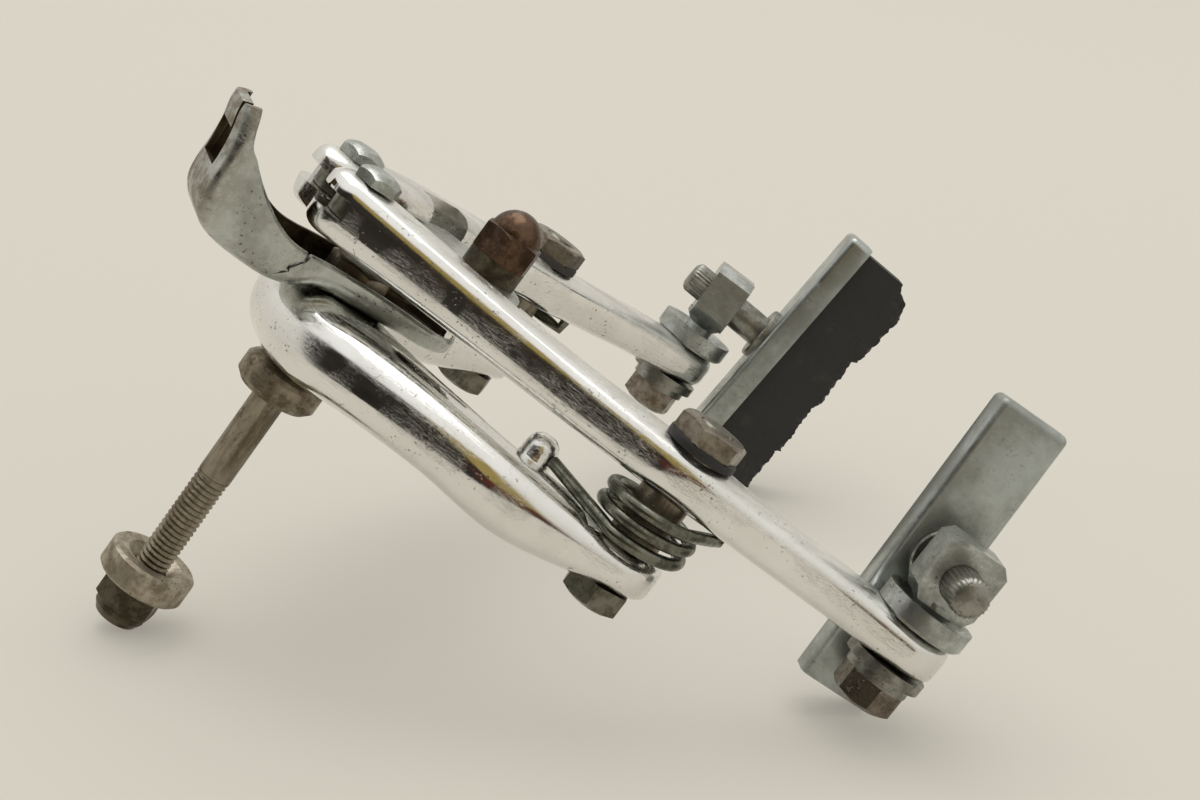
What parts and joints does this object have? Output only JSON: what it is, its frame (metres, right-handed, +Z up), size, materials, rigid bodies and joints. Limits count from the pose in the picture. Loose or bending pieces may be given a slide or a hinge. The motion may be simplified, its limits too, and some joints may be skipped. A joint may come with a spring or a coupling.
{
  "type": "roller cam brake",
  "caption": "Bicycle rim brake whose arms are spread at the top by a sliding cam plate between rollers, with return springs, clamped pad posts and a cracked cable hanger.",
  "frame": {"origin": "on the centre bolt's axis, where the rear face of the seat washer bears on the bicycle's frame", "axes": "+Z up, from the pads towards the cable hanger; +Y to the rear along the centre bolt, into the bicycle's frame; +X to the right seen from the front, towards the right arm"},
  "size_m": [0.1356, 0.1248, 0.1574],
  "materials": {
    "polished_aluminium": "polished, worn and pitted",
    "zinc_plated_steel": "zinc plated, stained",
    "dull_steel": "dull and tarnished",
    "rusted_steel": "rusted",
    "black_washer": "black",
    "dark_steel": "dark, oiled",
    "spring_steel": "dark spring wire",
    "pad_rubber": "worn and cracked",
    "cast_washer": "cast, stained"
  },
  "bodies": {
    "hub": {"yoke": "polished_aluminium", "centre_bolt": "dull_steel", "seat_washer": "cast_washer", "rear_washer": "cast_washer", "centre_nut": "rusted_steel", "cable_hanger": "zinc_plated_steel", "left_pivot_bolt": "dark_steel", "left_pivot_sleeve": "dull_steel", "left_pivot_washer": "black_washer", "left_pivot_nut": "dull_steel", "left_return_spring": "spring_steel", "right_pivot_bolt": "dark_steel", "right_pivot_sleeve": "dull_steel", "right_pivot_washer": "black_washer", "right_pivot_nut": "dull_steel", "right_return_spring": "spring_steel"},
    "cam": {"cam_plate": "zinc_plated_steel", "anchor_bolt": "dark_steel", "anchor_rear_washer": "black_washer", "anchor_spacer": "black_washer", "anchor_nut": "rusted_steel"},
    "left_side": {"left_arm": "polished_aluminium", "left_roller_bolt": "zinc_plated_steel", "left_eye_bolt": "zinc_plated_steel", "left_saddle_washer": "zinc_plated_steel", "left_stepped_washer": "dull_steel", "left_clamp_nut": "dark_steel", "left_pad_post": "dull_steel", "left_pad_holder": "zinc_plated_steel", "left_brake_pad": "pad_rubber"},
    "left_wheel": {"left_roller": "dark_steel"},
    "right_side": {"right_arm": "polished_aluminium", "right_roller_bolt": "zinc_plated_steel", "right_eye_bolt": "zinc_plated_steel", "right_saddle_washer": "zinc_plated_steel", "right_stepped_washer": "dull_steel", "right_clamp_nut": "dark_steel", "right_pad_post": "dull_steel", "right_pad_holder": "zinc_plated_steel", "right_brake_pad": "pad_rubber"},
    "right_wheel": {"right_roller": "dark_steel"}
  },
  "joints": [
    {"name": "cam_lift", "type": "slide", "parent": "hub", "child": "cam", "axis": [0, 0, 1], "range_m": [0, 0.02]},
    {"name": "left_swing", "type": "hinge", "parent": "hub", "child": "left_side", "pos_m": [-0.04265, -0.034, -0.0476], "axis": [0, -1, 0], "range_deg": [0, 9.8], "stiffness_Nm_per_rad": 0.4, "springref_deg": -20.05, "deforming": ["left_return_spring"]},
    {"name": "left_roll", "type": "hinge", "parent": "left_side", "child": "left_wheel", "pos_m": [-0.00645, -0.0354, 0.0086], "axis": [0, 1, 0], "continuous": true},
    {"name": "right_swing", "type": "hinge", "parent": "hub", "child": "right_side", "pos_m": [0.04265, -0.034, -0.0476], "axis": [0, 1, 0], "range_deg": [0, 9.8], "stiffness_Nm_per_rad": 0.4, "springref_deg": -20.05, "deforming": ["right_return_spring"]},
    {"name": "right_roll", "type": "hinge", "parent": "right_side", "child": "right_wheel", "pos_m": [0.00645, -0.0354, 0.0086], "axis": [0, 1, 0], "continuous": true}
  ],
  "couplings": [
    {"joint": "left_swing", "follows": "cam_lift", "rad_per_m": 8.391},
    {"joint": "right_swing", "follows": "cam_lift", "rad_per_m": 8.391}
  ]
}
